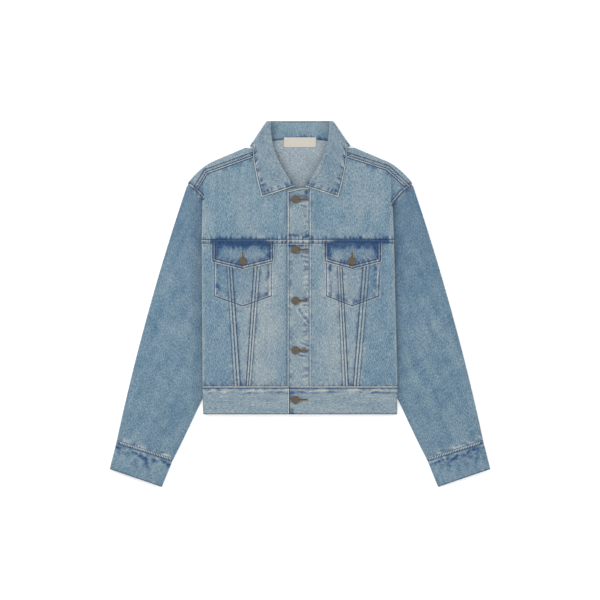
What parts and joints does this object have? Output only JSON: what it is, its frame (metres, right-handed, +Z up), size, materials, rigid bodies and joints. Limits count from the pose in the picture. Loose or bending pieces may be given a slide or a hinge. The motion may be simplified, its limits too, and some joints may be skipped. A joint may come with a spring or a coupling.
{
  "type": "denim jacket",
  "caption": "Light-wash cropped denim jacket laid flat and buttoned, with a point collar, two chest flap pockets, V seams, cuffs and a waistband.",
  "frame": {"origin": "centre of the footprint, on the surface that the jacket lies on", "axes": "+X across the jacket to the viewer's right, +Y from the hem to the collar, +Z up, out of its front"},
  "size_m": [0.7992, 0.7689, 0.019],
  "materials": {
    "denim": "matte",
    "denim_double": "matte",
    "pocketing": "matte",
    "button_metal": "satin",
    "label_cotton": "matte"
  },
  "bodies": {
    "root": {"front_yoke_left": "denim", "front_centre_left": "denim", "front_middle_left": "denim", "front_side_left": "denim", "pocket_flap_left": "denim_double", "pocket_bag_left": "pocketing", "sleeve_front_left": "denim", "sleeve_back_left": "denim", "cuff_left": "denim_double", "placket_left": "denim_double", "flap_button_left": "button_metal", "front_yoke_right": "denim", "front_centre_right": "denim", "front_middle_right": "denim", "front_side_right": "denim", "pocket_flap_right": "denim_double", "pocket_bag_right": "pocketing", "sleeve_front_right": "denim", "sleeve_back_right": "denim", "cuff_right": "denim_double", "placket_right": "denim_double", "flap_button_right": "button_metal", "back": "denim", "back_yoke": "denim", "waistband": "denim_double", "collar": "denim_double", "collar_stand": "denim_double", "button_1": "button_metal", "button_2": "button_metal", "button_3": "button_metal", "button_4": "button_metal", "button_5": "button_metal", "neck_label": "label_cotton"}
  },
  "joints": []
}
